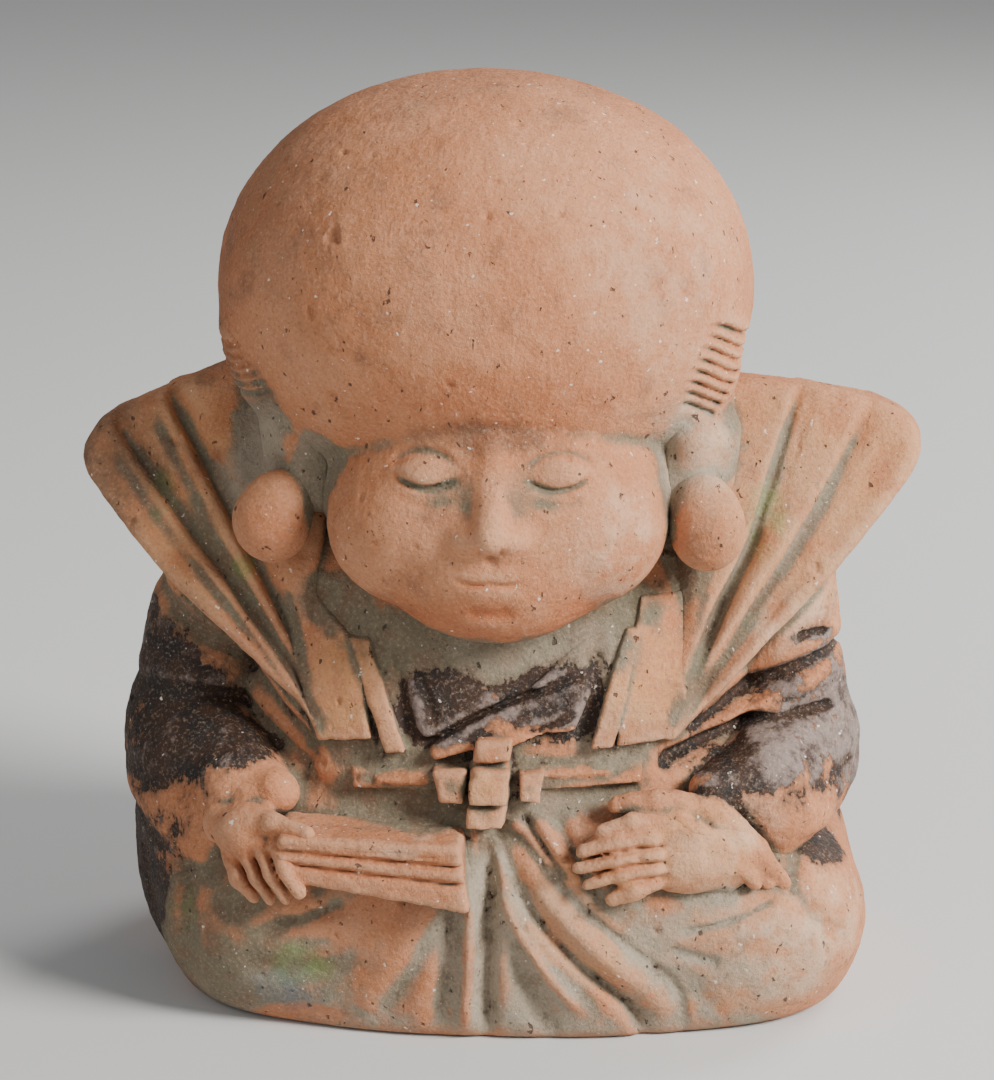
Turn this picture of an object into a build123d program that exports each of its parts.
"""A seated clay figure in stiff-shouldered formal dress, holding a closed fan on its lap.

The figure is hollow, low-fired clay. The body and the head are each pressed as a front and a back shell,
and every raised part of the dress is a separate slab or roll of clay stuck on with slip.
Millimetres. +Z is up, the figure faces -Y, and its left hand is on +X.
The origin is the middle of its foot.
"""

from build123d import *

import os
from math import copysign, cos, pi, radians, sin

# ---------------------------------------------------------------- driving dimensions
LEFT, RIGHT = 1, -1  # the figure's own left is +X

WALL = 6.0  # body clay thickness
SEAM_Y = -6.0  # parting plane of the body's two moulds
BODY_LEVELS = [  # height, half width, reach towards the front, reach towards the back
    (0, 42.0, 31.5, 27.0),
    (7, 43.2, 33.0, 28.5),
    (17, 41.5, 33.0, 29.0),
    (27, 36.0, 30.0, 28.0),
    (40, 32.5, 26.5, 26.0),
    (52, 29.0, 22.5, 22.5),
    (62, 21.0, 16.0, 17.0),
]
OVAL_POWER = 2.5  # 2 is an ellipse, more is squarer
CAVITY_TOP = (44.0, 28.0, 21.0, 22.0)

HEAD_WALL = 5.0
HEAD_SEAM_Y = -8.0
DOME_CENTRE, DOME_RADII = (-2.0, -8.0, 85.0), (31.3, 26.5, 25.0)
JAW_CENTRE, JAW_RADII = (0.0, -15.5, 64.5), (19.5, 18.5, 17.5)

NECK_PLACE, NECK_RADIUS, NECK_BORE, NECK_FOOT = (0.0, -6.0), 9.0, 6.0, 40.0
DISC_THICKNESS = 5.0
VENT_PLACE, VENT_RADIUS = (0.0, 14.0), 4.0
COIL_WIDTH, COIL_THICKNESS = 6.0, 2.0

EAR_FOOT, EAR_TOP, EAR_RADIUS = (21.5, -18.0, 64.0), (22.5, -18.0, 71.0), 4.2
LOBE_CENTRE, LOBE_RADIUS = (24.6, -22.5, 59.6), 5.0
LOCK_CENTRE, LOCK_RADII = (28.4, -14.0, 78.0), (3.4, 5.0, 6.5)
TOPKNOT_CENTRE, TOPKNOT_RADII, TOPKNOT_TURN = (-2.0, 14.2, 98.0), (3.2, 7.0, 3.0), (-50, 0, 0)

WING_ROOT, WING_TILT, WING_THICKNESS = (0.0, -30.0, 34.0), 29.0, 7.0
WING_OUTLINE = [(19.5, 33.5), (40, 50.5), (49, 62), (48.5, 69), (43, 73), (34, 75), (25, 75), (21.5, 50)]
WING_ROUNDING, WING_EDGE = 1.6, 1.2
WING_TIP_LIFT = {LEFT: 1.5, RIGHT: -2.5}
PANEL_OUTLINE = [(13.8, 33), (19.8, 33), (23.0, 50), (17.4, 50)]
LAPEL_OUTLINE = [(10.4, 33), (13.4, 33), (17.0, 50), (14.4, 50)]
COLLAR_OUTLINE = [(13.4, 48), (8.5, 48), (-4.5, 35.6), (-3.4, 33.4), (1.8, 33.4), (9.0, 39.5)]
BOARD_OUTLINE = [(-13, 29), (13, 29), (9.5, 42), (-9.5, 42)]
VEST_BACK_OUTLINE = [(-21, 31), (21, 31), (25, 57), (-25, 57)]
KNOT_LOOP = [(-2.6, 25.6), (2.5, 25.6), (2.5, 35.6), (-2.6, 35.6)]
KNOT_BAR = [(-7.0, 28.2), (6.2, 28.2), (6.2, 32.2), (-7.0, 32.2)]
CORD_OUTLINE = [(-17, 28.8), (17, 28.8), (17, 31.8), (-17, 31.8)]
PANEL_LAYER, LAPEL_LAYER, COLLAR_LAYER = 2.2, 3.4, 1.6
CORD_LAYER, KNOT_LAYER, BACK_LAYER, BOARD_LAYER = 2.2, 4.6, 2.0, 3.4

SLEEVE_LEVELS = [  # height, distance out, y, half width, half depth
    (4, 36.5, -6, 5.5, 10),
    (13, 37.0, -7, 7.0, 15),
    (23, 36.5, -9, 7.5, 17),
    (33, 36.5, -8, 7.5, 16),
    (43, 35.0, -7, 7.0, 13),
    (51, 33.0, -6, 5.0, 9),
]
SLEEVE_EXTRA = {LEFT: 0.0, RIGHT: 1.5}

FAN_START, FAN_END, FAN_HEIGHT, FAN_DEPTH = (-25.0, -33.5, 24.6), (-3.0, -34.5, 21.4), 6.6, 4.4
FAN_GROOVE = 0.5
PALM_RIGHT = ((-28.0, -30.5, 23.6), (-23.8, -32.0, 23.4), 3.8)  # start, end, radius
PALM_LEFT = ((17.0, -30.0, 24.4), (22.5, -28.5, 24.4), 4.0)
FINGER_COUNT, FINGER_RADIUS = 4, 1.2
RIGHT_FINGER, RIGHT_FINGER_STEP = ((-29.0, -32.6, 22.0), (-27.8, -34.2, 18.0)), 2.2
LEFT_FINGER, LEFT_FINGER_STEP = ((16.0, -31.8, 27.2), (10.0, -33.0, 26.2)), -2.1
CUFF_RADIUS = 3.2
CUFFS = {  # start, end
    LEFT: ((22.5, -27.5, 28.0), (33.5, -21.5, 19.0)),
    RIGHT: ((-24.5, -27.3, 28.8), (-32.0, -24.5, 22.6)),
}

os.makedirs("parts", exist_ok=True)


# ---------------------------------------------------------------- helpers
def oval(half_width, front, back, count=16):
    """Points round a squarish oval that reaches `front` towards -Y and `back` towards +Y."""
    points = []
    for i in range(count):
        angle = 2 * pi * i / count
        x = copysign(abs(cos(angle)) ** (2 / OVAL_POWER), cos(angle))
        y = copysign(abs(sin(angle)) ** (2 / OVAL_POWER), sin(angle))
        points.append((x * half_width, y * (back if y > 0 else front)))
    return points


def lofted(levels, grow=0.0):
    """A solid through oval levels, each made `grow` bigger all round."""
    with BuildPart(mode=Mode.PRIVATE) as solid:
        for height, half_width, front, back in levels:
            with BuildSketch(Plane.XY.offset(height)):
                with BuildLine():
                    Spline(*oval(half_width + grow, front + grow, back + grow), periodic=True)
                make_face()
        loft()
    return solid.part


def ellipsoid(centre, radii, turn=(0, 0, 0)):
    """A squashed ball, turned about X, Y and Z in degrees and then set at its centre."""
    with BuildPart(mode=Mode.PRIVATE) as ball:
        Sphere(1)
        scale(by=radii)
    return ball.part.moved(Location(centre, turn))


def shrunk(radii, wall):
    return tuple(r - wall for r in radii)


def capsule(start, end, radius):
    """A round-ended roll of clay between two points."""
    path = Vector(end) - Vector(start)
    with BuildPart(mode=Mode.PRIVATE) as roll:
        with BuildSketch(Plane(origin=start, z_dir=path)):
            Circle(radius)
        extrude(amount=path.length)
        with Locations(start, end):
            Sphere(radius)
    return roll.part


def head_ear(side):
    """The roll of one ear, before the head is taken out of it."""
    return capsule(on_side(EAR_FOOT, side), on_side(EAR_TOP, side), EAR_RADIUS)


def skin(outline, layer, back=False, rounding=0.8):
    """A flat outline in X and Z, laid on the body as a slab `layer` thick, with rounded corners."""
    with BuildPart(mode=Mode.PRIVATE) as slab:
        with BuildSketch(Plane.XZ) as shape:
            with BuildLine():
                Polyline(*outline, close=True)
            make_face()
            fillet(shape.vertices(), radius=rounding)
        extrude(amount=-60 if back else 60)
        add(body_layers[layer], mode=Mode.INTERSECT)
        add(body_outer, mode=Mode.SUBTRACT)
    return slab.part


def on_side(point, side):
    """A point given for the figure's left, or its mirror image for the right."""
    return (side * point[0], point[1], point[2])


def mirrored(outline, side):
    """An outline drawn for the figure's left, or its mirror image for the right."""
    return [(side * x, z) for x, z in outline]


def side_name(side):
    return "left" if side == LEFT else "right"


def save(label, builder):
    """Labels one finished piece and writes its STEP file."""
    builder.part.label = label
    export_step(builder.part, f"parts/{label}.step")


# ---------------------------------------------------------------- forms that several pieces share
body_outer = lofted(BODY_LEVELS)
body_layers = {
    layer: lofted(BODY_LEVELS, layer)
    for layer in (
        COLLAR_LAYER, BACK_LAYER, PANEL_LAYER, CORD_LAYER, LAPEL_LAYER, BOARD_LAYER, KNOT_LAYER,
    )
}
cavity_levels = [(-1, *BODY_LEVELS[0][1:])] + BODY_LEVELS[1:5] + [CAVITY_TOP]
body_cavity = lofted(cavity_levels, -WALL)

with BuildPart() as head_outer:
    add(ellipsoid(DOME_CENTRE, DOME_RADII))
    add(ellipsoid(JAW_CENTRE, JAW_RADII))

with BuildPart() as head_cavity:
    add(ellipsoid(DOME_CENTRE, shrunk(DOME_RADII, HEAD_WALL)))
    add(ellipsoid(JAW_CENTRE, shrunk(JAW_RADII, HEAD_WALL)))

# ---------------------------------------------------------------- body: two shells, floor and seam coil
with BuildPart() as body_shell:
    add(body_outer)
    add(body_cavity, mode=Mode.SUBTRACT)
    add(head_outer.part, mode=Mode.SUBTRACT)
    with BuildSketch(Plane.XY.offset(NECK_FOOT)):
        with Locations(NECK_PLACE):
            Circle(NECK_RADIUS)
    extrude(amount=30, mode=Mode.SUBTRACT)

with BuildPart() as body_front_shell:
    add(body_shell.part)
    split(bisect_by=Plane.XZ.offset(-SEAM_Y), keep=Keep.TOP)
save("body_front_shell", body_front_shell)

with BuildPart() as body_back_shell:
    add(body_shell.part)
    split(bisect_by=Plane.XZ.offset(-SEAM_Y), keep=Keep.BOTTOM)
save("body_back_shell", body_back_shell)

with BuildPart() as base_disc:
    with BuildSketch():
        Rectangle(200, 200)
    extrude(amount=DISC_THICKNESS)
    add(body_cavity, mode=Mode.INTERSECT)
    with Locations((*VENT_PLACE, DISC_THICKNESS)):
        Hole(VENT_RADIUS)
save("base_disc", base_disc)

with BuildPart() as neck:
    with BuildSketch(Plane.XY.offset(NECK_FOOT)):
        with Locations(NECK_PLACE):
            Circle(NECK_RADIUS)
            Circle(NECK_BORE, mode=Mode.SUBTRACT)
    extrude(amount=22)
    add(head_outer.part, mode=Mode.SUBTRACT)
save("neck", neck)

with BuildPart() as body_seam_coil:
    with BuildSketch(Plane.XZ.offset(-SEAM_Y - COIL_WIDTH / 2)):
        Rectangle(200, 200)
    extrude(amount=COIL_WIDTH)
    add(body_cavity, mode=Mode.INTERSECT)
    add(lofted(cavity_levels, -WALL - COIL_THICKNESS), mode=Mode.SUBTRACT)
    add(base_disc.part, mode=Mode.SUBTRACT)
    with BuildSketch(Plane.XY.offset(NECK_FOOT)):
        with Locations(NECK_PLACE):
            Circle(NECK_RADIUS)
    extrude(amount=30, mode=Mode.SUBTRACT)
    with BuildSketch(Plane.XY.offset(-2)):
        Rectangle(200, 200)
    extrude(amount=2 + DISC_THICKNESS, mode=Mode.SUBTRACT)
save("body_seam_coil", body_seam_coil)

# ---------------------------------------------------------------- head: two pressed shells and seam coil
with BuildPart() as head_shell:
    add(head_outer.part)
    add(head_cavity.part, mode=Mode.SUBTRACT)
    with BuildSketch(Plane.XY.offset(NECK_FOOT)):
        with Locations(NECK_PLACE):
            Circle(NECK_BORE)
    extrude(amount=26, mode=Mode.SUBTRACT)

with BuildPart() as head_front_shell:
    add(head_shell.part)
    split(bisect_by=Plane.XZ.offset(-HEAD_SEAM_Y), keep=Keep.TOP)
save("head_front_shell", head_front_shell)

with BuildPart() as head_back_shell:
    add(head_shell.part)
    split(bisect_by=Plane.XZ.offset(-HEAD_SEAM_Y), keep=Keep.BOTTOM)
save("head_back_shell", head_back_shell)

with BuildPart() as head_seam_coil:
    add(ellipsoid(DOME_CENTRE, shrunk(DOME_RADII, HEAD_WALL)))
    coil_room = shrunk(DOME_RADII, HEAD_WALL + COIL_THICKNESS)
    add(ellipsoid(DOME_CENTRE, coil_room), mode=Mode.SUBTRACT)
    with BuildSketch(Plane.XZ.offset(-HEAD_SEAM_Y - COIL_WIDTH / 2)):
        with Locations((DOME_CENTRE[0], DOME_CENTRE[2] + 50 - 10)):
            Rectangle(100, 100)
    extrude(amount=COIL_WIDTH, mode=Mode.INTERSECT)
save("head_seam_coil", head_seam_coil)

# ---------------------------------------------------------------- head fittings: ears, side locks, topknot
for side in (LEFT, RIGHT):
    with BuildPart() as ear:
        add(head_ear(side))
        add(head_outer.part, mode=Mode.SUBTRACT)
    with BuildPart() as ear_lobe:
        with Locations(on_side(LOBE_CENTRE, side)):
            Sphere(LOBE_RADIUS)
        add(head_outer.part, mode=Mode.SUBTRACT)
        add(ear.part, mode=Mode.SUBTRACT)
    with BuildPart() as side_lock:
        add(ellipsoid(on_side(LOCK_CENTRE, side), LOCK_RADII).moved(Location((DOME_CENTRE[0], 0, 0))))
        add(head_outer.part, mode=Mode.SUBTRACT)
        add(ear.part, mode=Mode.SUBTRACT)
    save(f"ear_{side_name(side)}", ear)
    save(f"ear_lobe_{side_name(side)}", ear_lobe)
    save(f"side_lock_{side_name(side)}", side_lock)

with BuildPart() as topknot:
    add(ellipsoid(TOPKNOT_CENTRE, TOPKNOT_RADII, TOPKNOT_TURN))
    add(head_outer.part, mode=Mode.SUBTRACT)
save("topknot", topknot)

# ---------------------------------------------------------------- vest: wings, front panels, lapels, back
wing_lean = radians(WING_TILT)
wing_plane = Plane(WING_ROOT, x_dir=(1, 0, 0), z_dir=(0, -cos(wing_lean), sin(wing_lean)))
wings = {}
for side in (LEFT, RIGHT):
    tip = max(x for x, z in WING_OUTLINE)
    root = min(x for x, z in WING_OUTLINE)
    raised = [
        (side * x, (z + WING_TIP_LIFT[side] * (x - root) / (tip - root) - WING_ROOT[2]) / cos(wing_lean))
        for x, z in WING_OUTLINE
    ]
    with BuildPart() as wing:
        with BuildSketch(wing_plane) as shape:
            with BuildLine():
                Polyline(*raised, close=True)
            make_face()
            fillet(shape.vertices(), radius=WING_ROUNDING)
        extrude(amount=-WING_THICKNESS)
        chamfer(wing.faces().sort_by(Axis(WING_ROOT, wing_plane.z_dir))[-1].edges(), length=WING_EDGE)
        add(body_outer, mode=Mode.SUBTRACT)
        add(head_outer.part, mode=Mode.SUBTRACT)
        with Locations(on_side(LOBE_CENTRE, side)):
            Sphere(LOBE_RADIUS, mode=Mode.SUBTRACT)
        add(head_ear(side), mode=Mode.SUBTRACT)
    wings[side] = wing
    save(f"shoulder_wing_{side_name(side)}", wing)

for side in (LEFT, RIGHT):
    with BuildPart() as panel:
        add(skin(mirrored(PANEL_OUTLINE, side), PANEL_LAYER))
        add(wings[side].part, mode=Mode.SUBTRACT)
        add(head_outer.part, mode=Mode.SUBTRACT)
    with BuildPart() as lapel:
        add(skin(mirrored(LAPEL_OUTLINE, side), LAPEL_LAYER))
        add(head_outer.part, mode=Mode.SUBTRACT)
    save(f"vest_panel_{side_name(side)}", panel)
    save(f"lapel_{side_name(side)}", lapel)

collars = {}
for side in (LEFT, RIGHT):
    with BuildPart() as collar:
        add(skin(mirrored(COLLAR_OUTLINE, side), COLLAR_LAYER, rounding=0.4))
        add(head_outer.part, mode=Mode.SUBTRACT)
        if side == RIGHT:
            add(collars[LEFT].part, mode=Mode.SUBTRACT)
    collars[side] = collar
    save(f"kimono_collar_{side_name(side)}", collar)

with BuildPart() as back_board:
    add(skin(BOARD_OUTLINE, BOARD_LAYER, back=True))
save("back_board", back_board)

with BuildPart() as vest_back:
    add(skin(VEST_BACK_OUTLINE, BACK_LAYER, back=True))
    add(back_board.part, mode=Mode.SUBTRACT)
    add(head_outer.part, mode=Mode.SUBTRACT)
save("vest_back", vest_back)

# ---------------------------------------------------------------- waist cord and its knot
with BuildPart() as cord_knot:
    add(skin(KNOT_LOOP, KNOT_LAYER))
    add(skin(KNOT_BAR, LAPEL_LAYER))
    add(collars[LEFT].part, mode=Mode.SUBTRACT)
    add(collars[RIGHT].part, mode=Mode.SUBTRACT)
save("cord_knot", cord_knot)

with BuildPart() as waist_cord:
    add(skin(CORD_OUTLINE, CORD_LAYER))
    add(cord_knot.part, mode=Mode.SUBTRACT)
save("waist_cord", waist_cord)

# ---------------------------------------------------------------- fan and hands
fan_path = Vector(FAN_END) - Vector(FAN_START)
fan_plane = Plane(FAN_START, x_dir=(0, -1, 0), z_dir=fan_path)
with BuildPart() as folding_fan:
    with BuildSketch(fan_plane) as fan_section:
        Rectangle(FAN_DEPTH, FAN_HEIGHT)
        with Locations(*((FAN_DEPTH / 2, FAN_HEIGHT * step) for step in (-0.17, 0.17))):
            Circle(FAN_GROOVE, mode=Mode.SUBTRACT)
    extrude(amount=fan_path.length)
    add(body_outer, mode=Mode.SUBTRACT)
save("folding_fan", folding_fan)

with BuildPart() as hand_right:
    add(capsule(*PALM_RIGHT))
    for i in range(FINGER_COUNT):
        knuckle, tip = (Vector(point) + Vector(RIGHT_FINGER_STEP * i, 0, 0) for point in RIGHT_FINGER)
        add(capsule(knuckle, tip, FINGER_RADIUS))
    add(body_outer, mode=Mode.SUBTRACT)
    add(folding_fan.part, mode=Mode.SUBTRACT)
save("hand_right", hand_right)

with BuildPart() as hand_left:
    add(capsule(*PALM_LEFT))
    for i in range(FINGER_COUNT):
        knuckle, tip = (Vector(point) + Vector(0, 0, LEFT_FINGER_STEP * i) for point in LEFT_FINGER)
        add(capsule(knuckle, tip, FINGER_RADIUS))
    add(body_outer, mode=Mode.SUBTRACT)
save("hand_left", hand_left)

# ---------------------------------------------------------------- sleeves and cuffs
palms = {LEFT: capsule(*PALM_LEFT), RIGHT: capsule(*PALM_RIGHT)}
for side in (LEFT, RIGHT):
    cuff_roll = capsule(*CUFFS[side], CUFF_RADIUS)
    with BuildPart() as cuff:
        add(cuff_roll)
        add(palms[side], mode=Mode.SUBTRACT)
        add(body_outer, mode=Mode.SUBTRACT)
    save(f"cuff_{side_name(side)}", cuff)
    with BuildPart() as sleeve:
        for height, out, y, half_width, half_depth in SLEEVE_LEVELS:
            extra = SLEEVE_EXTRA[side]
            with BuildSketch(Plane.XY.offset(height)):
                with Locations((side * (out + extra), y)):
                    Ellipse(half_width + extra, half_depth)
        loft()
        add(body_outer, mode=Mode.SUBTRACT)
        add(wings[side].part, mode=Mode.SUBTRACT)
        add(palms[side], mode=Mode.SUBTRACT)
        add(cuff_roll, mode=Mode.SUBTRACT)
    save(f"sleeve_{side_name(side)}", sleeve)
